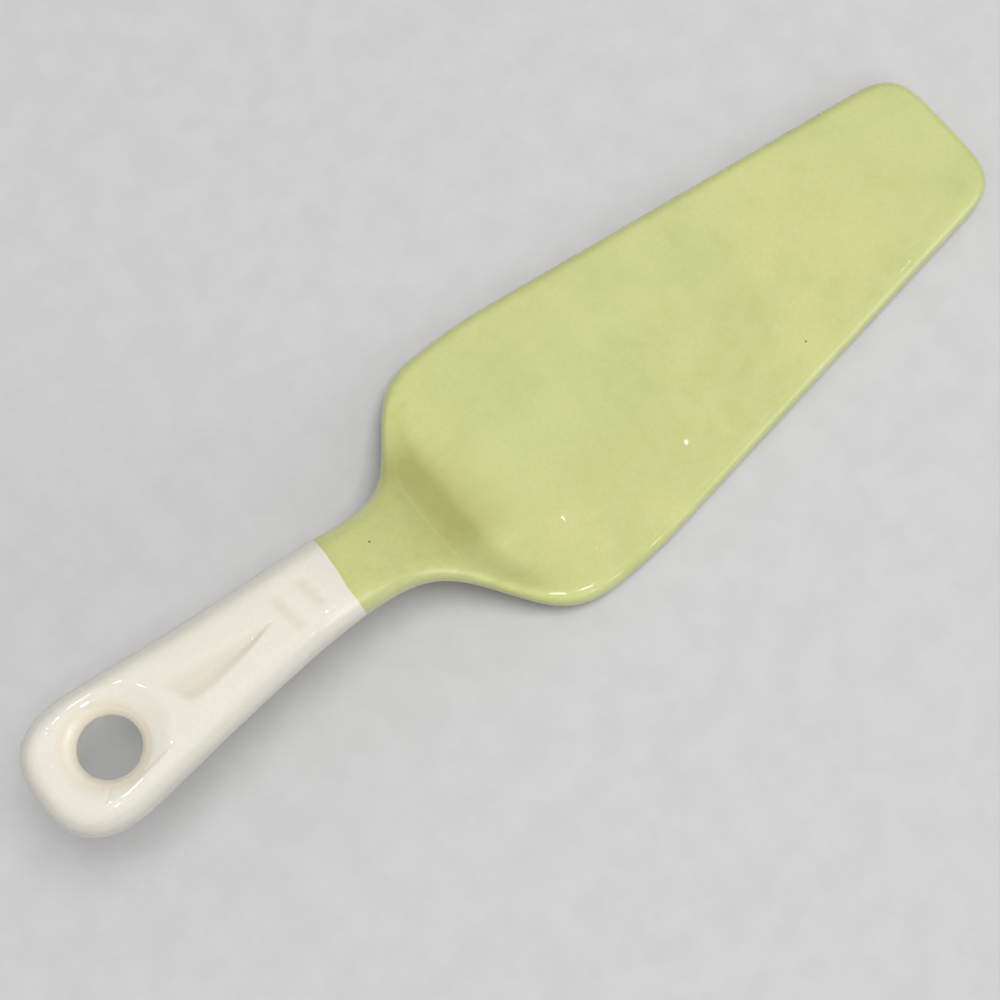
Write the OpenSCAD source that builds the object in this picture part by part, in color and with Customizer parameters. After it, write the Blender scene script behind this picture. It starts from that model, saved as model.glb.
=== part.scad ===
// Cake server in glazed pottery. One fired clay body makes the blade, the climbing neck and the
// raised handle. A lime green glaze coats the blade and the neck, and a cream glaze coats the
// handle and lines its hanging hole. The two coats meet at a dip line across the neck.
// X runs from the handle's end to the blade's tip, Y runs across, Z is up, and the flat
// underside of the blade lies on Z = 0. All lengths are in millimetres.

/* [Lengths along the part] */
// From the handle's end to its narrow waist
handle_long = 72; // [62:0.5:84]
// From the waist to the wide shoulders of the blade
neck_long = 44; // [38:0.5:52]
// From the shoulders to the tip of the blade
blade_long = 119; // [100:1:140]

/* [Blade] */
// Thickness of the flat blade, glaze included
blade_thick = 5.6; // [4.6:0.1:7]
// Width across the shoulders
shoulder_wide = 64.8; // [58:0.2:72]
// Length over which the shoulders round into the straight sides
shoulder_round = 15; // [10:0.5:20]
// Width that the straight sides aim for at the tip
tip_wide = 34.2; // [28:0.2:42]
// Length of the rounded corners at the tip
tip_round = 15.6; // [11:0.2:19]
// How square the tip corners are, larger is squarer
tip_square_share = 4.4; // [3:0.1:6]
// How far the rounded rim reaches in from the blade's edge
blade_roll = 3.2; // [2.2:0.1:4.2]

/* [Neck] */
// How suddenly the waist spreads into the shoulders
spread_share = 2.5; // [1.8:0.1:3.2]
// How far back from the waist the neck begins to drop
drop_before = 18; // [12:0.5:26]
// How far past the shoulders the drop runs out
drop_past = 2; // [0:0.5:8]
// How suddenly the handle's height drops to the blade
drop_share = 1.9; // [1.5:0.1:2.4]
// Start of the hollow at the foot of the neck, measured from the waist
hollow_from = 17.5; // [14:0.5:20]
// Length of that hollow along the part
hollow_long = 11.5; // [10:0.5:20]
// Share of the half width that is fully hollowed
hollow_core_share = 0.45; // [0.1:0.05:0.5]
// Share of the half width where the hollow has faded into the raised sides
hollow_side_share = 1; // [0.8:0.01:1]

/* [Handle] */
// Height of the handle's middle plane above the table at its end
handle_high = 32.6; // [26:0.2:42]
// Fall of the handle's middle plane for each unit of length
handle_fall_share = 0.06; // [0:0.01:0.1]
// Thickness of the handle, glaze included
handle_thick = 12; // [10:0.2:14]
// Width at the waist
waist_wide = 17.9; // [15:0.1:22]
// Width that the flare aims for at the handle's end
end_wide = 31.4; // [28:0.2:36]
// How strongly the flare curves, one is straight
flare_share = 1.53; // [1.2:0.01:1.9]
// Length of the rounded end
end_round = 20; // [16:0.5:24]
// How square the rounded end is, two is elliptical
end_square_share = 2.6; // [2.1:0.1:3.2]
// How far the rounded edge reaches in from the handle's side
handle_roll = 4.6; // [3.6:0.1:5.6]
// How much lower the handle's faces are at their sides than in the middle
crown = 0.9; // [0.4:0.1:1.4]

/* [Hanging hole] */
// Distance of the hole's axis from the handle's end
hole_at = 16; // [15:0.5:20]
// Diameter of the hole, inside the glaze
hole_wide = 12; // [8:0.2:13]
// How far the funnel in the top face spreads beyond the hole
lip_wide = 2.4; // [1.4:0.1:2.4]
// Depth of that funnel
lip_deep = 3.2; // [1.4:0.1:3.6]
// How far the hole flares out towards the underside
under_lip_wide = 2.2; // [1.4:0.1:2.3]
// Depth of that flare
under_lip_deep = 6.6; // [5:0.1:7.8]

/* [Pressed pattern on the handle] */
// Start of the tapering flute, measured from the handle's end
flute_from = 31; // [29:0.5:36]
// Length of the flute from its wide end to its point
flute_long = 24; // [14:0.5:26]
// Width of the flute at its wide end
flute_wide = 9; // [5:0.2:10]
// Depth of the flute
flute_deep = 0.45; // [0.2:0.05:0.8]
// Distance of the first cross groove from the handle's end
groove_from = 57; // [56:0.5:59]
// Distance between the two cross grooves
groove_apart = 5.8; // [4:0.2:7]
// Width of each cross groove
groove_wide = 3.4; // [2.4:0.1:3.8]
// Length of each cross groove across the handle
groove_long = 11; // [7:0.5:13]
// Depth of each cross groove
groove_deep = 0.3; // [0.1:0.05:0.5]

/* [Glaze] */
// Thickness of both glaze coats
glaze_thick = 0.5; // [0.4:0.05:0.8]
// Distance of the dip line from the handle's end, on the centre line
dip_at = 68.9; // [66:0.1:71]
// Turn of the dip line away from square, in degrees
dip_turn = -3.4; // [-8:0.2:8]

/* [Hidden] */
total_long = handle_long + neck_long + blade_long;
shoulder_at = handle_long + neck_long;
taper_share = (shoulder_wide - tip_wide) / 2 / (blade_long - shoulder_round / 2);
drop_from = handle_long - drop_before;
drop_to = shoulder_at + drop_past;
blade_mid = blade_thick / 2;
handle_mid = handle_thick / 2;

// Power that shapes the rounded edges in section, two is elliptical
roll_power = 2.2;
// Turns of the funnel's arc away from upright, in degrees, at the hole and at the face
hole_turn = 45;
face_turn = 75;
// How far that arc runs on past the face, so that the tool cuts the face cleanly
arc_past_share = 1.1;
// Turn that keeps the round tool's seam off the centre line, in degrees
seam_turn = 37;
round_fn = 96;

// Number of steps along and across the skin
cap_steps = 9;
grip_steps = 9;
bar_steps = 11;
neck_steps = 18;
side_steps = 5;
roll_steps = 5;
top_steps = 6;
under_steps = 2;
rows = 2 * cap_steps + grip_steps + bar_steps + neck_steps + side_steps;
top_last = roll_steps + top_steps;
under_last = roll_steps + under_steps;
row_size = top_last + under_last + 1;

function mix(a, b, t) = a + (b - a) * t;
function held(t) = min(1, max(0, t));
function ease(t) = let (u = held(t)) u * u * (3 - 2 * u);
function s_curve(t, power) = t <= 0 ? 0 : t >= 1 ? 1 : 1 / (1 + pow((1 - t) / t, power));

// Half width along the part, before the two ends are rounded off
function flare_half(x) =
    waist_wide / 2 + (end_wide - waist_wide) / 2 * pow((handle_long - x) / handle_long, flare_share);
function spread_half(x) =
    mix(waist_wide / 2, shoulder_wide / 2, s_curve((x - handle_long) / neck_long, spread_share));
function side_run(x) =
    let (d = x - shoulder_at) d < shoulder_round ? d * d / (2 * shoulder_round) : d - shoulder_round / 2;
function half_wide(x) =
    x < handle_long ? flare_half(x) : x < shoulder_at ? spread_half(x) :
    shoulder_wide / 2 - taper_share * side_run(x);

// Share of the handle that is left at a place: one along the handle, none on the blade
function raised(x) = 1 - s_curve((x - drop_from) / (drop_to - drop_from), drop_share);
function half_thick(x) = mix(blade_mid, handle_mid, raised(x));
function roll_in(x) = mix(blade_roll, handle_roll, raised(x));

// Height of the middle plane, with the hollow at the foot of the neck
function hollowed(x, y) =
    let (side = abs(y) / half_wide(x))
    ease((x - handle_long - hollow_from) / hollow_long)
        * (1 - ease((side - hollow_core_share) / (hollow_side_share - hollow_core_share)));
function middle(x, y) =
    half_thick(x)
    + (handle_high - handle_fall_share * x - handle_mid) * raised(x) * (1 - hollowed(x, y));

// Drop of the faces towards the sides, on the handle and the neck beyond the hole
crown_from = hole_at + hole_wide / 2 + lip_wide;
function crowned(x, y) =
    crown * ease((x - crown_from) / hole_wide) * raised(x) * pow(y / half_wide(x), 2);

// Depth of the pressed pattern on top of the handle
function flute(x, y) =
    let (t = (flute_from + flute_long - x) / flute_long, half = flute_wide / 2 * t)
    t <= 0 || abs(y) >= half ? 0 :
    flute_deep * ease((x - flute_from) / flute_wide * 2) * ease(t * 3) * pow(1 - pow(y / half, 2), 2);
function groove(x, y, at) =
    let (u = abs(x - at) / (groove_wide / 2), v = abs(y) / (groove_long / 2))
    u >= 1 || v >= 1 ? 0 : groove_deep * (1 - ease(u)) * (1 - ease(v * 2 - 1));
function pressed(x, y) =
    flute(x, y) + groove(x, y, groove_from) + groove(x, y, groove_from + groove_apart);

// Outline of one side, from the handle's end round to the tip
grip_start = end_round;
bar_start = groove_from - groove_wide;
neck_start = dip_at;
side_start = drop_to;
tip_start = total_long - tip_round;
function end_point(t) =
    let (x = end_round * (1 - pow(cos(90 * t), 2 / end_square_share)))
    [x, half_wide(x) * pow(sin(90 * t), 2 / end_square_share)];
function tip_point(t) =
    let (x = tip_start + tip_round * pow(sin(90 * t), 2 / tip_square_share))
    [x, half_wide(x) * pow(cos(90 * t), 2 / tip_square_share)];
function side_point(a, b, t) = let (x = mix(a, b, t)) [x, half_wide(x)];
rim = concat(
    [for (i = [0 : cap_steps - 1]) end_point(i / cap_steps)],
    [for (i = [0 : grip_steps - 1]) side_point(grip_start, bar_start, i / grip_steps)],
    [for (i = [0 : bar_steps - 1]) side_point(bar_start, neck_start, i / bar_steps)],
    [for (i = [0 : neck_steps - 1]) side_point(neck_start, side_start, i / neck_steps)],
    [for (i = [0 : side_steps - 1]) side_point(side_start, tip_start, i / side_steps)],
    [for (i = [0 : cap_steps - 1]) tip_point(i / cap_steps)],
    [[total_long, 0]]);
function mirrored(p) = [p[0], -p[1]];
function along(i) =
    i == 0 ? rim[1] - mirrored(rim[1]) : i == rows ? mirrored(rim[rows - 1]) - rim[rows - 1] :
    rim[i + 1] - rim[i - 1];
inward = [for (i = [0 : rows]) let (d = along(i)) [d[1], -d[0]] / norm(d)];
rolled = [for (i = [0 : rows]) rim[i] + inward[i] * roll_in(rim[i][0])];

// Points on the centre line that the rows run to
spine_start = rolled[0][0] + handle_roll / 2;
spine_end = rolled[rows][0] - blade_roll / 2;
function spine(i) =
    i < cap_steps ? mix(spine_start, rolled[cap_steps][0], i / cap_steps) :
    i > rows - cap_steps ?
        mix(rolled[rows - cap_steps][0], spine_end, (i - rows + cap_steps) / cap_steps) :
    rolled[i][0];

// Place and height share of one point of a row, counted in from the rim
function place(i, k, last, inset) =
    k <= roll_steps ?
        rim[i] + inward[i] * (inset + (roll_in(rim[i][0]) - inset)
            * (1 - pow(cos(90 * k / roll_steps), 2 / roll_power))) :
        mix(rolled[i], [spine(i), 0], (k - roll_steps) / (last - roll_steps));
function height_share(k) = k < roll_steps ? pow(sin(90 * k / roll_steps), 2 / roll_power) : 1;
function top_point(i, k, inset) =
    let (p = place(i, k, top_last, inset), x = p[0], y = p[1])
    [x, y, middle(x, y) + (half_thick(x) - inset - crowned(x, y)) * height_share(k)
        - (k < roll_steps ? 0 : pressed(x, y))];
function under_point(i, k, inset) =
    let (p = place(i, k, under_last, inset), x = p[0], y = p[1])
    [x, y, middle(x, y) - (half_thick(x) - inset - crowned(x, y)) * height_share(k)];
function row_points(i, inset) = concat(
    [for (k = [0 : top_last]) top_point(i, k, inset)],
    [for (k = [1 : under_last]) under_point(i, k, inset)]);
function skin_points(inset) =
    let (one = [for (i = [0 : rows]) each row_points(i, inset)])
    concat(one, [for (p = one) [p[0], -p[1], p[2]]]);

// Both sides share the centre line and the two end rows
function shared(i, c) = i == 0 || i == rows || c == top_last || c == top_last + under_last;
function id(side, i, c) = (side == 1 && !shared(i, c) ? (rows + 1) * row_size : 0) + i * row_size + c;
function under_col(k) = k == 0 ? 0 : top_last + k;
function patch(side, i, c, d, turn) =
    let (a = id(side, i, c), b = id(side, i + 1, c), e = id(side, i + 1, d), f = id(side, i, d))
    i == 0 ? (turn ? [[a, f, b], [f, e, b]] : [[a, b, f], [b, e, f]]) :
    turn ? [[a, f, e], [a, e, b]] : [[a, b, e], [a, e, f]];
skin_faces = [for (side = [0, 1]) for (i = [0 : rows - 1]) each concat(
    [for (k = [0 : top_last - 1]) each patch(side, i, k, k + 1, side == 1)],
    [for (k = [0 : under_last - 1]) each patch(side, i, under_col(k), under_col(k + 1), side == 0)])];

module skin(inset) {
    polyhedron(points = skin_points(inset), faces = skin_faces, convexity = 8);
}

// Hole with a funnel above and a flare below, square to the handle, widened by the given amount
hole_tilt = atan(handle_fall_share);
arc_steps = 5;
arc_wide = cos(hole_turn) - cos(face_turn);
arc_deep = sin(face_turn) - sin(hole_turn);
function lip(radius, edge, wide, deep, t) =
    let (turn = mix(hole_turn, face_turn, arc_past_share * t))
    [radius + wide * (cos(hole_turn) - cos(turn)) / arc_wide,
        edge + deep * (sin(turn) - sin(hole_turn)) / arc_deep];
module hole_tool(extra) {
    radius = hole_wide / 2 + extra;
    face = (half_thick(hole_at) - extra) * cos(hole_tilt);
    upper = [for (i = [0 : arc_steps]) lip(radius, face - lip_deep, lip_wide, lip_deep, i / arc_steps)];
    lower = [for (i = [arc_steps : -1 : 0])
        lip(radius, under_lip_deep - face, under_lip_wide, -under_lip_deep, i / arc_steps)];
    translate([hole_at, 0, middle(hole_at, 0)])
        rotate([0, hole_tilt, 0])
            rotate([0, 0, seam_turn])
                rotate_extrude($fn = round_fn)
                    polygon(concat(
                        [[0, -handle_thick], [lower[0][0], -handle_thick]],
                        lower,
                        upper,
                        [[upper[arc_steps][0], handle_thick], [0, handle_thick]]));
}

// Everything on the handle's side of the dip line
module handle_side() {
    translate([dip_at, 0, 0])
        rotate([0, 0, dip_turn])
            translate([-total_long, -total_long / 2, -total_long / 2])
                cube([total_long, total_long, total_long]);
}

module centred() {
    translate([-total_long / 2, 0, 0])
        children();
}

// Fired clay body, sealed under the glaze
module clay_body() {
    color([0.86, 0.8, 0.7])
        centred()
            difference() {
                skin(glaze_thick);
                hole_tool(glaze_thick);
            }
}

// Green coat over the blade and the neck
module blade_glaze() {
    color([0.62, 0.68, 0.33])
        centred()
            difference() {
                skin(0);
                handle_side();
                skin(glaze_thick);
            }
}

// Cream coat over the handle, with the lining of the hanging hole
module handle_glaze() {
    color([0.86, 0.83, 0.74])
        centred()
            difference() {
                intersection() {
                    skin(0);
                    handle_side();
                }
                difference() {
                    skin(glaze_thick);
                    hole_tool(glaze_thick);
                }
                hole_tool(0);
            }
}

clay_body();
blade_glaze();
handle_glaze();
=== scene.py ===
import bmesh
import bpy
import numpy as np
from mathutils import Matrix, Vector


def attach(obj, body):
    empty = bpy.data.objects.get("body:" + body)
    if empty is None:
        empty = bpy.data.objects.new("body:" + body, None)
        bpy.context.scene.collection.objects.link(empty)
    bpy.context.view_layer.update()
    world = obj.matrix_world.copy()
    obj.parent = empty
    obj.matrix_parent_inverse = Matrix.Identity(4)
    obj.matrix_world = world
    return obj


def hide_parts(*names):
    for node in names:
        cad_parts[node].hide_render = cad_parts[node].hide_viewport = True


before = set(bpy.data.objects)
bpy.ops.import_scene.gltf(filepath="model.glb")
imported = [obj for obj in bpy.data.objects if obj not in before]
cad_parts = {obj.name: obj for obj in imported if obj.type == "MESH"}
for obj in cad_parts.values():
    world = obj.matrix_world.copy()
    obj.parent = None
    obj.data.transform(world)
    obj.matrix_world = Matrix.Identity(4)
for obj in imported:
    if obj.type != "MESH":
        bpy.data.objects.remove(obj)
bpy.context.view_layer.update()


# Clay casting
# The whole server is one piece of buff clay, cast in a plaster mould, trimmed and fired. The blade lies
# flat, the neck climbs out of a soft hollow, and the handle has a funnel-mouthed hanging hole.
MM = 0.001
TOTAL_LONG = 235.0
HANDLE_LONG = 72.0
NECK_LONG = 44.0
BLADE_LONG = TOTAL_LONG - HANDLE_LONG - NECK_LONG
SHOULDER_AT = HANDLE_LONG + NECK_LONG
BLADE_HALF_THICK = 2.8
SHOULDER_HALF = 32.4
SHOULDER_ROUND = 15.0
TIP_HALF = 17.1
TIP_ROUND = 15.6
TIP_SQUARENESS = 4.4
BLADE_ROLL = 3.2
SPREAD_POWER = 2.5
DROP_FROM, DROP_TO, DROP_POWER = 54.0, 118.0, 1.9
HOLLOW_FROM, HOLLOW_LONG = 88.7, 13.2
HOLLOW_CORE, HOLLOW_SIDE = 0.38, 1.05
HANDLE_HIGH = 32.6
HANDLE_FALL = 0.06
HANDLE_HALF_THICK = 6.0
WAIST_HALF = 8.95
END_HALF = 15.7
FLARE_POWER = 1.53
END_ROUND = 20.0
END_SQUARENESS = 2.6
HANDLE_ROLL = 4.6
ROLL_POWER = 2.2
DIP_AT = 68.9
DIP_SLANT, DIP_SLANT_REACH = 0.0594, 14.0
DIP_WAVES, DIP_WAVE_REACH = ((0.16, 0.42, 0.6), (0.05, 1.1, 2.0)), 4.0
HOLE_AT = 16.0
HOLE_RADIUS = 6.0
LIP_WIDE, LIP_DEEP = 2.4, 3.2
UNDER_LIP_WIDE, UNDER_LIP_DEEP = 2.2, 6.6
HOLE_TURN, FACE_TURN = np.radians(45), np.radians(75)
GLAZE_THICK = 0.5
CORE_GAP = 0.04


def mix(a, b, t):
    return a + (b - a) * t


def ease(t):
    u = np.clip(t, 0, 1)
    return u * u * (3 - 2 * u)


def smoother(t):
    u = np.clip(t, 0, 1)
    return u**3 * (10 - 15 * u + 6 * u * u)


NEARLY_NOTHING = 1e-9


def s_curve(t, power):
    u = np.clip(t, NEARLY_NOTHING, 1 - NEARLY_NOTHING)
    return 1 / (1 + ((1 - u) / u) ** power)


def half_wide(x):
    x = np.asarray(x, float)
    from_waist = np.clip((HANDLE_LONG - x) / HANDLE_LONG, 0, 1)
    flare = WAIST_HALF + (END_HALF - WAIST_HALF) * from_waist**FLARE_POWER
    spread = mix(WAIST_HALF, SHOULDER_HALF, s_curve((x - HANDLE_LONG) / NECK_LONG, SPREAD_POWER))
    d = np.maximum(x - SHOULDER_AT, 0)
    run = np.where(d < SHOULDER_ROUND, d * d / (2 * SHOULDER_ROUND), d - SHOULDER_ROUND / 2)
    taper = (SHOULDER_HALF - TIP_HALF) / (BLADE_LONG - SHOULDER_ROUND / 2)
    blade = SHOULDER_HALF - taper * run
    return np.where(x < HANDLE_LONG, flare, np.where(x < SHOULDER_AT, spread, blade))


def raised(x):
    return 1 - s_curve((x - DROP_FROM) / (DROP_TO - DROP_FROM), DROP_POWER)


def half_thick(x):
    return mix(BLADE_HALF_THICK, HANDLE_HALF_THICK, raised(x))


def middle(x, y):
    side = np.abs(y) / half_wide(x)
    faded = smoother((side - HOLLOW_CORE) / (HOLLOW_SIDE - HOLLOW_CORE))
    hollow = smoother((x - HOLLOW_FROM) / HOLLOW_LONG) * (1 - faded)
    lift = HANDLE_HIGH - HANDLE_FALL * x - HANDLE_HALF_THICK
    return half_thick(x) + lift * raised(x) * (1 - hollow)


CROWN, CROWN_FROM, CROWN_LONG = 0.9, 24.4, 12.0


def crowned(x, y):
    return CROWN * ease((x - CROWN_FROM) / CROWN_LONG) * raised(x) * (y / half_wide(x)) ** 2


# The flute narrows from its wide end, on the hole's side, to a point. Each groove is given as its place
# along the handle, the middle of its length and half that length.
FLUTE_FROM, FLUTE_LONG, FLUTE_DEEP = 30.6, 24.8, 0.45
FLUTE_MIDDLE, FLUTE_NEAR, FLUTE_FAR = -0.2, 4.3, 5.2
FLUTE_SLANT, FLUTE_START, FLUTE_POINT = 0.45, 2.6, 3
FLUTE_WALL, FLUTE_THINNEST = 0.42, 1e-6
GROOVES = ((56.5, -0.8, 5.4), (62.5, -0.2, 4.4))
GROOVE_WIDE, GROOVE_DEEP, GROOVE_SLANT = 3.4, 0.32, 0.14


def pressed(x, y, wall=FLUTE_WALL):
    """Depth of the tapering flute, whose near wall is the steeper one, and of the two cross grooves."""
    t = np.clip((FLUTE_FROM + FLUTE_LONG - x) / FLUTE_LONG, 0, 1)
    near, far = FLUTE_MIDDLE - FLUTE_NEAR * t * (2 - t), FLUTE_MIDDLE + FLUTE_FAR * t
    across = (y - near) / np.maximum(far - near, FLUTE_THINNEST)
    section = ease(across / wall) * ease((1 - across) / (1 - wall))
    start = ease((x + FLUTE_SLANT * y - FLUTE_FROM) / FLUTE_START)
    depth = FLUTE_DEEP * start * ease(t * FLUTE_POINT) * section
    for at, centre, half in GROOVES:
        u = np.clip(np.abs(x - at + GROOVE_SLANT * y) / (GROOVE_WIDE / 2), 0, 1)
        v = np.clip(np.abs(y - centre) / half, 0, 1)
        depth = depth + GROOVE_DEEP * (1 - ease(u)) * (1 - ease(v * 2 - 1))
    return depth


# Small marks of the maker's hands: a ridge beside the hole, two short creases at the dish's edge, a low
# rise beside the flute's wide end and one on the blade, each as its start, end, height and half width
TOUCHES = (
    ((12.5, -9.3), (27.5, -7.9), 0.16, 0.5),
    ((11.9, 6.9), (9.3, 9.3), -0.14, 0.35),
    ((12.3, -6.6), (9.6, -8.8), -0.14, 0.35),
    ((24.0, 6.0), (29.5, 3.0), 0.08, 0.9),
    ((114.7, -18.0), (114.7, -12.0), 0.076, 2.5),
)
TOUCH_ENDS = 4


def touched(x, y):
    """Height of the small marks, each fading out towards its two ends and to both sides."""
    height = 0
    for start, end, rise, half in TOUCHES:
        a, b = np.array(start), np.array(end)
        long = np.hypot(*(b - a))
        way = (b - a) / long
        run = (x - a[0]) * way[0] + (y - a[1]) * way[1]
        off = (y - a[1]) * way[0] - (x - a[0]) * way[1]
        along = np.clip(run / long, 0, 1)
        ends = ease(along * TOUCH_ENDS) * ease((1 - along) * TOUCH_ENDS)
        height = height + rise * np.exp(-((off / half) ** 2)) * ends
    return height


DISH_REACH, DISH_DEEP, DISH_SOFT = 10.3, 1.2, 0.25
DISH_STRETCH, DISH_POWER, DISH_LIMIT = 1.25, 1.3, 30


def dished(x, y):
    """Depth of the shallow dish round the hole's mouth, which reaches further on the handle's side."""
    stretch = np.where(x > HOLE_AT, DISH_STRETCH, 1.0)
    away = np.hypot((x - HOLE_AT) / stretch, y)
    inside = (DISH_REACH - away) / DISH_SOFT
    soft = DISH_SOFT * np.logaddexp(0, np.clip(inside, -DISH_LIMIT, DISH_LIMIT))
    return DISH_DEEP * (soft / (DISH_REACH - HOLE_RADIUS)) ** DISH_POWER


ROUND_POINTS, SIDE_POINTS = 3000, 6000


def outline():
    """The rim seen from above, from the handle's end along one side to the tip."""
    turn = np.linspace(0, np.pi / 2, ROUND_POINTS)
    end_x = END_ROUND * (1 - np.cos(turn) ** (2 / END_SQUARENESS))
    end = np.stack([end_x, half_wide(end_x) * np.sin(turn) ** (2 / END_SQUARENESS)], 1)
    tip_start = TOTAL_LONG - TIP_ROUND
    side_x = np.linspace(END_ROUND, tip_start, SIDE_POINTS)[1:-1]
    side = np.stack([side_x, half_wide(side_x)], 1)
    tip_x = tip_start + TIP_ROUND * np.sin(turn) ** (2 / TIP_SQUARENESS)
    tip_y = half_wide(tip_x) * np.maximum(np.cos(turn), 0) ** (2 / TIP_SQUARENESS)
    line = np.concatenate([end, side, np.stack([tip_x, tip_y], 1)])
    line[0, 1] = line[-1, 1] = 0
    return line


rim_line = outline()
rim_run = np.concatenate([[0], np.cumsum(np.hypot(*np.diff(rim_line, axis=0).T))])


def rim_at(run):
    return np.stack([np.interp(run, rim_run, rim_line[:, k]) for k in (0, 1)], -1)


# Rows of points stand close together at the handle's end and the tip and wider apart between them. One
# row lies exactly on the dip line, where the two coats of glaze meet. It is looked for in the rim's first
# three quarters, which end well before the tip.
FINE_RUN, RISING_SHARE = 20000, 0.75
END_STEP, HANDLE_STEP, STEP_FROM, STEP_FADE = 0.45, 0.9, 26, 20
BLADE_MORE, BLADE_FROM, BLADE_FADE = 0.7, 122, 20
TIP_LESS, TIP_FROM, TIP_FADE = 1.0, 214, 12


def stations():
    fine = np.linspace(0, rim_run[-1], FINE_RUN)
    x = rim_at(fine)[:, 0]
    step = mix(END_STEP, HANDLE_STEP, ease((x - STEP_FROM) / STEP_FADE))
    step = step + BLADE_MORE * ease((x - BLADE_FROM) / BLADE_FADE)
    step = step - TIP_LESS * ease((x - TIP_FROM) / TIP_FADE)
    count = np.concatenate([[0], np.cumsum(np.diff(fine) / step[1:])])
    rising = int(len(x) * RISING_SHARE)
    at_dip = np.interp(np.interp(DIP_AT, x[:rising], fine[:rising]), fine, count)
    before, after = int(round(at_dip)), int(round(count[-1] - at_dip))
    up_to_dip = np.linspace(0, at_dip, before + 1)
    past_dip = np.linspace(at_dip, count[-1], after + 1)[1:]
    return np.interp(np.concatenate([up_to_dip, past_dip]), count, fine), before


RIM_PROBE = 0.3
HOLE_ROWS_REACH = 10.6
ROLL_STEPS, TOP_STEPS, UNDER_STEPS, LIP_STEPS, WALL_STEPS = 14, 26, 12, 9, 6

row_run, dip_row = stations()
rim = rim_at(row_run)
ahead = rim_at(np.minimum(row_run + RIM_PROBE, rim_run[-1])) - rim_at(np.maximum(row_run - RIM_PROBE, 0))
inward = np.stack([ahead[:, 1], -ahead[:, 0]], 1) / np.hypot(*ahead.T)[:, None]
inward[0], inward[-1] = (1, 0), (-1, 0)
roll_in = mix(BLADE_ROLL, HANDLE_ROLL, raised(rim[:, 0]))
rolled = rim + inward * roll_in[:, None]
hole_row = int(np.searchsorted(rolled[:, 0], HOLE_AT + HOLE_ROWS_REACH))
roll_turn = np.linspace(0, np.pi / 2, ROLL_STEPS + 1)
hole_slope = np.arctan(HANDLE_FALL)


def hole_point(angle, radius, level):
    """A point in the hole's own slanted frame, given as x, y, z."""
    across, up = radius * np.cos(angle), level + 0 * angle
    return np.stack([
        HOLE_AT + across * np.cos(hole_slope) + up * np.sin(hole_slope),
        radius * np.sin(angle),
        middle(HOLE_AT, 0) - across * np.sin(hole_slope) + up * np.cos(hole_slope)], -1)


def hole_angles():
    x, y = rolled[: hole_row + 1].T
    squeeze = 1 - ease((x - HOLE_AT) / (x[-1] - HOLE_AT))
    return np.arctan2(y * squeeze, x - HOLE_AT)


around = hole_angles()


def centre_line():
    x = rolled[:, 0].copy()
    tip = int(np.searchsorted(rim[:, 0], TOTAL_LONG - TIP_ROUND))
    share = (row_run[tip:] - row_run[tip]) / (row_run[-1] - row_run[tip])
    x[tip:] = mix(x[tip], rolled[-1, 0] - BLADE_ROLL / 2, share)
    return np.stack([x, 0 * x], 1)


def sheet_points(inset, up):
    """Grid of points over the top or the underside of one half, rim first, hole mouth or middle last."""
    steps = TOP_STEPS if up else UNDER_STEPS
    mouth = HOLE_RADIUS + inset + (LIP_WIDE if up else UNDER_LIP_WIDE)
    face = (HANDLE_HALF_THICK - inset) * np.cos(hole_slope) * (1 if up else -1)
    target = centre_line()
    target[: hole_row + 1] = hole_point(around, mouth, face)[:, :2]
    across = inset + (roll_in[:, None] - inset) * (1 - np.cos(roll_turn) ** (2 / ROLL_POWER))
    edge = rim[:, None] + inward[:, None] * across[..., None]
    share = np.linspace(0, 1, steps + 1)[1:]
    flat = mix(rolled[:, None], target[:, None], share[None, :, None])
    x, y = np.moveaxis(np.concatenate([edge, flat], 1), -1, 0)
    rise = np.concatenate([np.sin(roll_turn) ** (2 / ROLL_POWER), np.ones(steps)])
    return x, y, np.broadcast_to(rise, x.shape)


PRESSED_FROM = 0.45
MOUTH_FADE = 1.5


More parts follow.
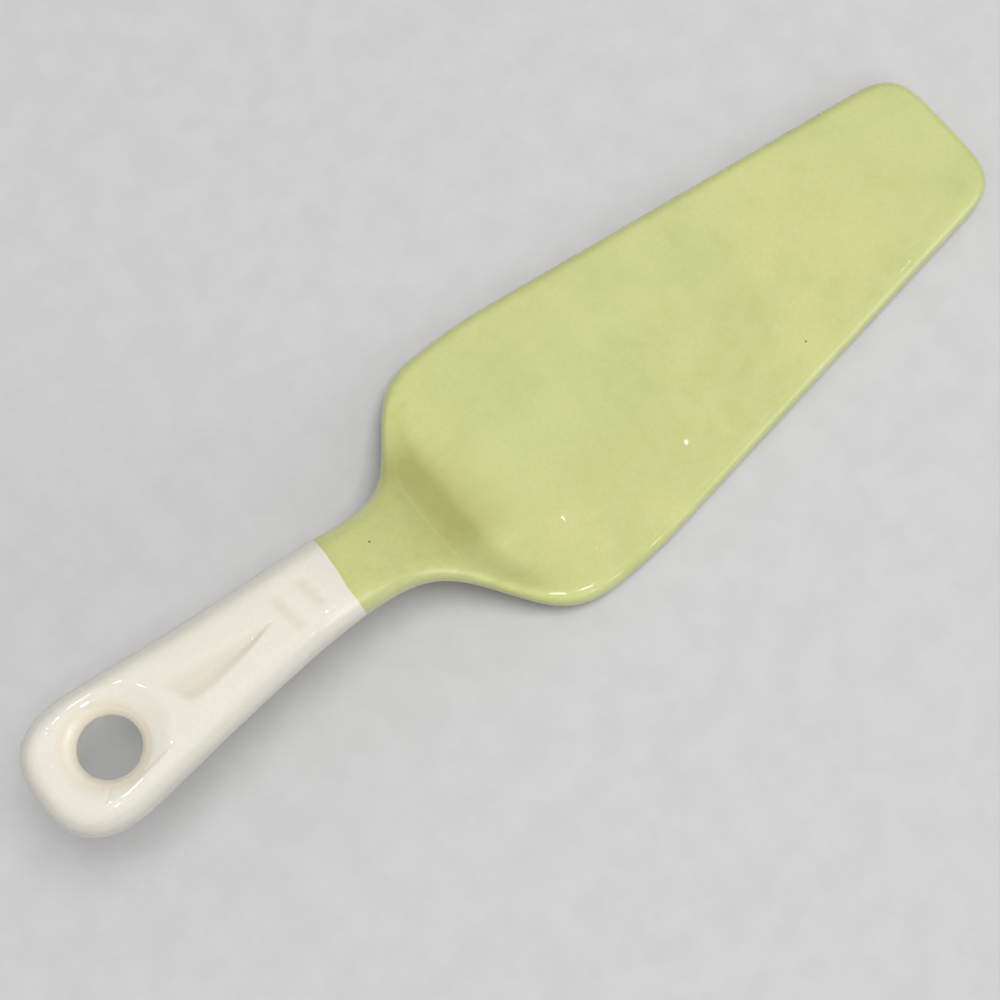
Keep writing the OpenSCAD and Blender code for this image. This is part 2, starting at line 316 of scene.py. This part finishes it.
def half_skin(inset, side):
    """Top, underside and hole lining of one half, as grids of x, y, z."""
    grids = []
    for up in (True, False):
        x, y, rise = sheet_points(inset, up)
        y = y * side
        x = x + y * DIP_SLANT * np.exp(-(((x - DIP_AT) / DIP_SLANT_REACH) ** 2))
        wave = sum(high * np.sin(turns * y + start) for high, turns, start in DIP_WAVES)
        x = x + wave * np.exp(-(((x - DIP_AT) / DIP_WAVE_REACH) ** 2))
        z = middle(x, y) + ((half_thick(x) - inset) * rise - crowned(x, y) * rise) * (1 if up else -1)
        if up:
            hold = ease((np.arange(x.shape[1]) / ROLL_STEPS - PRESSED_FROM) / (1 - PRESSED_FROM))
            z = z - (pressed(x, y) + dished(x, y) - touched(x, y)) * hold
        grids.append(np.stack([x, y, z], -1))
    turn = np.linspace(HOLE_TURN, FACE_TURN, LIP_STEPS + 1)
    bend = (np.cos(HOLE_TURN) - np.cos(turn)) / (np.cos(HOLE_TURN) - np.cos(FACE_TURN))
    drop = (np.sin(turn) - np.sin(HOLE_TURN)) / (np.sin(FACE_TURN) - np.sin(HOLE_TURN))
    radius = HOLE_RADIUS + inset
    top_face = (HANDLE_HALF_THICK - inset) * np.cos(hole_slope)
    upper = np.stack([radius + LIP_WIDE * bend, top_face - LIP_DEEP + LIP_DEEP * drop], 1)[::-1]
    lower_level = UNDER_LIP_DEEP - top_face - UNDER_LIP_DEEP * drop
    lower = np.stack([radius + UNDER_LIP_WIDE * bend, lower_level], 1)
    wall = mix(upper[-1], lower[0], np.linspace(0, 1, WALL_STEPS + 1)[1:-1, None])
    profile = np.concatenate([upper, wall, lower])
    lining = hole_point(around[:, None] * side, profile[None, :, 0], profile[None, :, 1])
    mouth = hole_point(around * side, radius + LIP_WIDE, top_face)[:, 2]
    mouth_drop = mouth - grids[0][: hole_row + 1, -1, 2]
    fade = np.clip(1 - np.arange(len(profile)) / LIP_STEPS, 0, 1) ** MOUTH_FADE
    lining[..., 2] -= mouth_drop[:, None] * fade
    grids.append(lining)
    return grids


def quads(grid, start):
    r, c = grid.shape[:2]
    at = start + np.arange(r * c).reshape(r, c)
    return np.stack([at[:-1, :-1], at[1:, :-1], at[1:, 1:], at[:-1, 1:]], -1).reshape(-1, 4)


SAME_PLACE_DIGITS = 5
CRISP_EDGE = np.radians(55)


def sew(name, grids):
    """One closed mesh from grids whose edges meet: points in the same place become one."""
    points = np.concatenate([g.reshape(-1, 3) for g in grids])
    starts = np.cumsum([0] + [g.shape[0] * g.shape[1] for g in grids])
    faces = np.concatenate([quads(g, s) for g, s in zip(grids, starts)])
    rounded = np.round(points, SAME_PLACE_DIGITS) + 0.0
    _, first, same = np.unique(rounded, axis=0, return_index=True, return_inverse=True)
    points, faces = points[first], same.ravel()[faces]
    kept = []
    for face in faces.tolist():
        ring = [v for n, v in enumerate(face) if v != face[n - 1]]
        if len(set(ring)) == len(ring) > 2:
            kept.append(ring)
    mesh = bpy.data.meshes.new(name)
    mesh.from_pydata(((points - [TOTAL_LONG / 2, 0, 0]) * MM).tolist(), [], kept)
    work = bmesh.new()
    work.from_mesh(mesh)
    loose = [v for v in work.verts if not v.link_faces]
    bmesh.ops.delete(work, geom=loose, context="VERTS")
    bmesh.ops.recalc_face_normals(work, faces=work.faces)
    work.to_mesh(mesh)
    work.free()
    mesh.shade_smooth()
    mesh.set_sharp_from_angle(angle=CRISP_EDGE)
    piece = bpy.data.objects.new(name, mesh)
    bpy.context.scene.collection.objects.link(piece)
    return piece


core_inset = GLAZE_THICK + CORE_GAP
clay_core = sew("clay_core", half_skin(core_inset, 1) + half_skin(core_inset, -1))
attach(clay_core, "root")
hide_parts("clay_body")


def finish_of(name):
    """A new material with its node tree, its shader and a place to read positions from."""
    material = bpy.data.materials.new(name)
    material.use_nodes = True
    tree = material.node_tree
    shader = tree.nodes["Principled BSDF"]
    where = tree.nodes.new("ShaderNodeTexCoord").outputs["Object"]
    return material, tree, shader, where


def noise(tree, where, scale, detail, rough, stretch=None):
    if stretch:
        turn = tree.nodes.new("ShaderNodeMapping")
        turn.inputs["Scale"].default_value = stretch
        tree.links.new(where, turn.inputs["Vector"])
        where = turn.outputs["Vector"]
    node = tree.nodes.new("ShaderNodeTexNoise")
    node.inputs["Scale"].default_value = scale
    node.inputs["Detail"].default_value = detail
    node.inputs["Roughness"].default_value = rough
    tree.links.new(where, node.inputs["Vector"])
    return node.outputs["Fac"]


def ramp(tree, value, low, high, bottom=0.0, top=1.0):
    node = tree.nodes.new("ShaderNodeMapRange")
    node.interpolation_type = "SMOOTHSTEP"
    for name, number in (("From Min", low), ("From Max", high), ("To Min", bottom), ("To Max", top)):
        node.inputs[name].default_value = number
    tree.links.new(value, node.inputs["Value"])
    return node.outputs["Result"]


# The places of the two colours and the result among the sockets of a colour mix
MIX_UNDER, MIX_OVER, MIX_RESULT = 6, 7, 2


def blend(tree, amount, under, over, how="MIX"):
    """Lays one colour over another by an amount. Either is a plain colour or comes from a node."""
    node = tree.nodes.new("ShaderNodeMix")
    node.data_type, node.blend_type = "RGBA", how
    tree.links.new(amount, node.inputs["Factor"])
    for socket, colour in ((node.inputs[MIX_UNDER], under), (node.inputs[MIX_OVER], over)):
        if isinstance(colour, tuple):
            socket.default_value = (*colour, 1)
        else:
            tree.links.new(colour, socket)
    return node.outputs[MIX_RESULT]


def bump(tree, shader, height, strength, distance):
    node = tree.nodes.new("ShaderNodeBump")
    node.inputs["Strength"].default_value = strength
    node.inputs["Distance"].default_value = distance
    tree.links.new(height, node.inputs["Height"])
    tree.links.new(node.outputs["Normal"], shader.inputs["Normal"])


BUFF, PALE_BUFF = (0.52, 0.40, 0.27), (0.66, 0.54, 0.39)
clay, tree, shader, where = finish_of("fired_clay")
grain = noise(tree, where, scale=900, detail=4, rough=0.6)
colour = blend(tree, ramp(tree, grain, low=0.35, high=0.65), BUFF, PALE_BUFF)
tree.links.new(colour, shader.inputs["Base Color"])
shader.inputs["Roughness"].default_value = 0.85
bump(tree, shader, grain, strength=0.4, distance=0.0002)
clay_core.data.materials.append(clay)


# Green glaze
# A lime glaze that the blade and the neck were dipped in. It runs up to the dip line at the waist, wraps
# the underside too, and is a little thicker and deeper in colour where it pools in the hollow. The darker
# hollow is partly painted shade, standing for the steep drop of the neck into it.
def coat(name, first, last):
    """A closed coat of glaze over the rows from first to last, with its cut edge at the dip line."""
    grids = []
    for side in (1, -1):
        outer, inner = half_skin(0, side), half_skin(GLAZE_THICK, side)
        for skin in (outer, inner):
            grids += [skin[0][first : last + 1], skin[1][first : last + 1]]
            if first == 0:
                grids.append(skin[2])
        for sheet in (0, 1):
            grids.append(np.stack([outer[sheet][dip_row], inner[sheet][dip_row]]))
    piece = sew(name, grids)
    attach(piece, "root")
    return piece


green_coat = coat("green_glaze_coat", dip_row, len(rim) - 1)
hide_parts("blade_glaze")


def places(piece):
    """Every point of the piece in millimetres, measured from the handle's end as the outline is."""
    points = np.empty(len(piece.data.vertices) * 3, np.float32)
    piece.data.vertices.foreach_get("co", points)
    return (points.reshape(-1, 3) / MM + [TOTAL_LONG / 2, 0, 0]).T


def measured(piece, name, values):
    """Keeps a value for every point of the piece, for its glaze to read."""
    data = piece.data.attributes.new(name, "FLOAT", "POINT")
    data.data.foreach_set("value", values.astype(np.float32))


def stored(tree, name):
    """Reads a value that was measured point by point on the piece."""
    node = tree.nodes.new("ShaderNodeAttribute")
    node.attribute_name = name
    return node.outputs["Fac"]


# Darker band in the hollow at the neck's foot: partly glaze that pools there, partly painted shade for the
# steep drop of the neck
VALLEY_AT, VALLEY_SLANT, VALLEY_BACK, VALLEY_FRONT = 95.0, 0.14, 7.0, 8.7
VALLEY_MIDDLE, VALLEY_HALF, VALLEY_SIDE, VALLEY_TONE = 4.0, 17.0, 9.0, 0.92
DIP_BEAD_REACH, DIP_BEAD_TONE, DIP_BEAD_FROM = 1.4, 0.3, -4.0
NECK_END, NECK_FADE = 118, 22
x, y, z = places(green_coat)
past = x - VALLEY_AT + VALLEY_SLANT * y
hollow_pool_and_shade = np.exp(-((past / np.where(past < 0, VALLEY_BACK, VALLEY_FRONT)) ** 2))
hollow_pool_and_shade *= ease((VALLEY_HALF - np.abs(y - VALLEY_MIDDLE)) / VALLEY_SIDE) * (z > BLADE_HALF_THICK)
from_dip = x - DIP_AT - DIP_SLANT * y
bead = DIP_BEAD_TONE * np.exp(-from_dip / DIP_BEAD_REACH) * (y > DIP_BEAD_FROM)
measured(green_coat, "pooled_and_shaded", np.clip(VALLEY_TONE * hollow_pool_and_shade + bead, 0, 1))
measured(green_coat, "on_neck", ease((NECK_END - x) / NECK_FADE))


def layer(tree, colour, pattern, low, high, amount, over):
    """Lays a tint over the colour where the pattern rises from low to high."""
    return blend(tree, ramp(tree, pattern, low, high, 0, amount), colour, over)


def product(tree, first, second):
    node = tree.nodes.new("ShaderNodeMath")
    node.operation = "MULTIPLY"
    tree.links.new(first, node.inputs[0])
    tree.links.new(second, node.inputs[1])
    return node.outputs["Value"]


SPECK_CORE, SPECK_ABOVE, SPECK_SURE = 0.4, 0.74, 0.76


def specks(tree, where, scale, size):
    """Tiny dark specks, one in about every fourth cell of the given scale."""
    cell = tree.nodes.new("ShaderNodeTexVoronoi")
    cell.inputs["Scale"].default_value = scale
    tree.links.new(where, cell.inputs["Vector"])
    chosen = tree.nodes.new("ShaderNodeSeparateColor")
    tree.links.new(cell.outputs["Color"], chosen.inputs["Color"])
    dot = ramp(tree, cell.outputs["Distance"], low=size, high=size * SPECK_CORE)
    return product(tree, dot, ramp(tree, chosen.outputs["Red"], low=SPECK_ABOVE, high=SPECK_SURE))


def glassy(tree, shader, where):
    """A soft glaze body under a thin glassy skin with a faint ripple."""
    shader.inputs["Roughness"].default_value = 0.35
    shader.inputs["Coat Weight"].default_value = 1.0
    shader.inputs["Coat Roughness"].default_value = 0.015
    shader.inputs["IOR"].default_value = 1.5
    ripple = noise(tree, where, scale=150, detail=3, rough=0.55)
    bump(tree, shader, ripple, strength=0.35, distance=0.0004)


LIME, WARM_LIME = (0.604, 0.645, 0.258), (0.660, 0.662, 0.262)
FULL_LIME, PALE_LIME = (0.545, 0.590, 0.218), (0.660, 0.690, 0.320)
STREAK_LIME, FINE_LIME = (0.668, 0.692, 0.256), (0.46, 0.50, 0.18)
POOLED_AND_SHADED_LIME = (0.74, 0.70, 0.56)
GREEN_SPECK = (0.16, 0.14, 0.07)
ALONG_NECK = (0.12, 1, 1)
green, tree, shader, where = finish_of("lime_glaze")
broad = noise(tree, where, scale=21, detail=2, rough=0.5)
patch = noise(tree, where, scale=60, detail=3, rough=0.55)
mottle = noise(tree, where, scale=260, detail=3, rough=0.6)
fine = noise(tree, where, scale=1500, detail=3, rough=0.65)
streak = noise(tree, where, scale=420, detail=3, rough=0.6, stretch=ALONG_NECK)
colour = blend(tree, ramp(tree, broad, low=0.42, high=0.66), LIME, WARM_LIME)
colour = layer(tree, colour, patch, low=0.36, high=0.66, amount=0.8, over=FULL_LIME)
colour = layer(tree, colour, mottle, low=0.3, high=0.7, amount=0.32, over=PALE_LIME)
brushed = ramp(tree, streak, low=0.35, high=0.68, top=0.6)
streaks = product(tree, brushed, stored(tree, "on_neck"))
colour = blend(tree, streaks, colour, STREAK_LIME)
# Darker where the glaze pools in the hollow and in the thicker bead at the dip line; in the hollow this is
# partly painted shade
colour = blend(tree, stored(tree, "pooled_and_shaded"), colour, POOLED_AND_SHADED_LIME, "MULTIPLY")
colour = layer(tree, colour, fine, low=0.3, high=0.7, amount=0.2, over=FINE_LIME)
colour = blend(tree, specks(tree, where, scale=130, size=0.05), colour, GREEN_SPECK)
tree.links.new(colour, shader.inputs["Base Color"])
glassy(tree, shader, where)
green_coat.data.materials.append(green)


# Cream glaze
# A warm white glaze on the handle, dipped from the other end. It lines the hanging hole as well, and
# looks yellower where it pools in the hole's funnel, the flute and the two cross grooves. The darkening in
# the flute and the grooves is partly painted shade, strongest on the flute's steep near wall, and the
# lighter colour of the funnel and its throat is painted light on their steep walls.
cream_coat = coat("cream_glaze_coat", 0, dip_row)
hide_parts("handle_glaze")

# Where the glaze pools in the flute and the grooves, partly painted shade; the wall share puts the most on
# the flute's steeper near wall
POOL_AND_SHADE_WALL, POOL_AND_SHADE_FULL, POOL_AND_SHADE_LEVEL = 0.24, 0.27, 1
# Painted light: the funnel and its throat are coloured lighter, as well as yellower where the glaze pools,
# to stand for light on their steep walls
FUNNEL_REACH, FUNNEL_FADE, FUNNEL_LEVEL = 9.9, 1.8, 6
THROAT_REACH, THROAT_FADE, THROAT_LEVEL = 8.2, 1.2, 3
x, y, z = places(cream_coat)
away = np.hypot(x - HOLE_AT, y)
under_top = HANDLE_HIGH - z
in_relief = np.clip(pressed(x, y, POOL_AND_SHADE_WALL) / POOL_AND_SHADE_FULL, 0, 1)
measured(cream_coat, "pooled_and_shaded", in_relief * (under_top < POOL_AND_SHADE_LEVEL))
measured(cream_coat, "in_funnel", ease((FUNNEL_REACH - away) / FUNNEL_FADE) * (under_top < FUNNEL_LEVEL))
measured(cream_coat, "at_throat", ease((THROAT_REACH - away) / THROAT_FADE) * (under_top < THROAT_LEVEL))

CREAM, WARM_CREAM = (0.803, 0.783, 0.678), (0.834, 0.800, 0.702)
BLUSH_CREAM, PALE_CREAM = (0.818, 0.762, 0.660), (0.840, 0.825, 0.740)
LIT_FUNNEL_CREAM, LIT_THROAT_CREAM = (0.826, 0.762, 0.625), (0.955, 0.880, 0.725)
FINE_CREAM = (0.62, 0.58, 0.48)
POOLED_AND_SHADED_CREAM = (0.93, 0.905, 0.84)
CREAM_SPECK = (0.30, 0.24, 0.17)
cream, tree, shader, where = finish_of("cream_glaze")
broad = noise(tree, where, scale=45, detail=2, rough=0.5)
blush = noise(tree, where, scale=110, detail=3, rough=0.55)
mottle = noise(tree, where, scale=300, detail=3, rough=0.6)
fine = noise(tree, where, scale=1500, detail=3, rough=0.65)
colour = blend(tree, ramp(tree, broad, low=0.38, high=0.66), CREAM, WARM_CREAM)
colour = layer(tree, colour, blush, low=0.4, high=0.68, amount=0.5, over=BLUSH_CREAM)
colour = layer(tree, colour, mottle, low=0.3, high=0.7, amount=0.25, over=PALE_CREAM)
# Painted shade in part: the flute and the grooves are darker where the glaze pools and where their walls
# are in shade
colour = blend(tree, stored(tree, "pooled_and_shaded"), colour, POOLED_AND_SHADED_CREAM, "MULTIPLY")
# Painted light on the funnel's steep walls and at the throat, with the yellower tone of the glaze that
# pools there
colour = blend(tree, stored(tree, "in_funnel"), colour, LIT_FUNNEL_CREAM)
colour = blend(tree, stored(tree, "at_throat"), colour, LIT_THROAT_CREAM)
colour = layer(tree, colour, fine, low=0.3, high=0.7, amount=0.16, over=FINE_CREAM)
colour = blend(tree, specks(tree, where, scale=120, size=0.045), colour, CREAM_SPECK)
tree.links.new(colour, shader.inputs["Base Color"])
glassy(tree, shader, where)
cream_coat.data.materials.append(cream)


# Table top
# A plain pale surface for the server to lie on, with only a faint plaster grain. It fades into the pale
# surround before its edge.
FLOOR_REACH, FLOOR_LEVEL = 4.0, -0.00002
FADE_FROM, FADE_TO = 0.5, 2.4
PLASTER, PALE_PLASTER = (0.60, 0.60, 0.60), (0.63, 0.63, 0.63)
PLASTER_GLOW = (0.25, 0.25, 0.25)
floor_mesh = bpy.data.meshes.new("table_top")
corners = [(a * FLOOR_REACH, b * FLOOR_REACH, FLOOR_LEVEL) for a, b in ((-1, -1), (1, -1), (1, 1), (-1, 1))]
floor_mesh.from_pydata(corners, [], [(0, 1, 2, 3)])
table_top = bpy.data.objects.new("table_top", floor_mesh)
bpy.context.scene.collection.objects.link(table_top)
plaster, tree, shader, where = finish_of("pale_plaster")
grain = noise(tree, where, scale=120, detail=5, rough=0.6)
colour = blend(tree, ramp(tree, grain, low=0.3, high=0.7), PLASTER, PALE_PLASTER)
ray = tree.nodes.new("ShaderNodeLightPath")
seen = tree.nodes.new("ShaderNodeMath")
seen.operation = "MAXIMUM"
tree.links.new(ray.outputs["Is Camera Ray"], seen.inputs[0])
tree.links.new(ray.outputs["Is Glossy Ray"], seen.inputs[1])
colour = blend(tree, seen.outputs["Value"], PLASTER_GLOW, colour)
tree.links.new(colour, shader.inputs["Base Color"])
reach = tree.nodes.new("ShaderNodeVectorMath")
reach.operation = "LENGTH"
tree.links.new(where, reach.inputs[0])
solid = ramp(tree, reach.outputs["Value"], low=FADE_FROM, high=FADE_TO, bottom=1, top=0)
tree.links.new(solid, shader.inputs["Alpha"])
shader.inputs["Roughness"].default_value = 0.8
shader.inputs["Specular IOR Level"].default_value = 0.3
floor_mesh.materials.append(plaster)


# Lights
# A wide soft light overhead, weaker ones on the near side and a tent that is brighter at its top. The rim
# softbox and the small sparkles light nothing: they only show as reflections in the glaze. The last two
# shine in narrow beams, so that they show at the shoulder alone.
def lamp(name, place, aim, width, watts):
    data = bpy.data.lights.new(name, "AREA")
    data.shape = "DISK"
    data.size = width
    data.energy = watts
    light = bpy.data.objects.new(name, data)
    light.location = place
    light.rotation_euler = (Vector(aim) - Vector(place)).to_track_quat("-Z", "Y").to_euler()
    bpy.context.scene.collection.objects.link(light)
    return light


MIDDLE = (0, 0, 0)
SHOULDER_RIM, NECK_SIDE = (-0.0097, -0.0299, 0.005), (-0.0157, -0.026, 0.005)
BEAM = np.radians(7)
lamp("overhead_softbox", (0.25, -0.20, 2.0), MIDDLE, width=1.2, watts=27).visible_glossy = False
lamp("near_softbox", (0.10, -1.5, 0.8), MIDDLE, width=1.0, watts=4.5).visible_glossy = False
lamp("far_softbox", (1.3, -1.2, 0.8), MIDDLE, width=1.4, watts=2.5)
lamp("rim_softbox", (0.9, -1.3, 0.45), MIDDLE, width=0.9, watts=2.4).visible_diffuse = False
for name, place, width, watts in (
        ("blade_sparkle", (0.554, 0.283, 2.0), 0.006, 0.0015),
        ("shoulder_sparkle", (0.357, 0.314, 2.0), 0.016, 0.017),
        ("low_rim_sparkle", (1.0, -2.8, 2.0), 0.15, 1.2),
        ("dish_sparkle", (-0.03, 0.60, 2.0), 0.14, 1.3),
        ("ridge_sparkle", (-0.16, -0.56, 2.0), 0.12, 0.8)):
    lamp(name, place, MIDDLE, width, watts).visible_diffuse = False
for name, place, aim, width, watts in (
        ("neck_side_sparkle", (0.692, -0.213, 1.0), NECK_SIDE, 0.036, 0.0005),
        ("rim_sparkle", (0.555, -0.225, 1.0), SHOULDER_RIM, 0.064, 0.0014)):
    beam = lamp(name, place, aim, width, watts)
    beam.visible_diffuse = False
    beam.data.spread = BEAM

TENT_FOOT, TENT_TOP, TENT_SEEN = (0.11, 0.11, 0.11), (0.44, 0.44, 0.44), (0.64, 0.64, 0.64)
surround = bpy.data.worlds.new("surround")
surround.use_nodes = True
sky = surround.node_tree
way = sky.nodes.new("ShaderNodeTexCoord").outputs["Generated"]
height = sky.nodes.new("ShaderNodeSeparateXYZ")
sky.links.new(way, height.inputs["Vector"])
tent = blend(sky, ramp(sky, height.outputs["Z"], low=0.0, high=1.0), TENT_FOOT, TENT_TOP)
tent = blend(sky, sky.nodes.new("ShaderNodeLightPath").outputs["Is Camera Ray"], tent, TENT_SEEN)
sky.links.new(tent, sky.nodes["Background"].inputs["Color"])
bpy.context.scene.world = surround


# Camera
# Held above the near side of the handle and looking down, as the photograph was taken. Its place and the
# directions right, down and forward in its picture were solved from the outline and the hanging hole.
CAMERA_PLACE = (-0.069385, -0.073031, 0.365018)
RIGHT = Vector((0.77285236, -0.63458476, 0.00118820))
DOWN = Vector((-0.61535340, -0.74988558, -0.24292346))
FORWARD = Vector((0.15504654, 0.18701281, -0.97004473))
camera_data = bpy.data.cameras.new("camera")
camera_data.lens = 64.8
camera_data.sensor_width = 36
camera = bpy.data.objects.new("camera", camera_data)
turned = Matrix((RIGHT, -DOWN, -FORWARD)).transposed().to_4x4()
camera.matrix_world = Matrix.Translation(CAMERA_PLACE) @ turned
bpy.context.scene.collection.objects.link(camera)
bpy.context.scene.camera = camera
bpy.context.scene.view_settings.view_transform = "Standard"
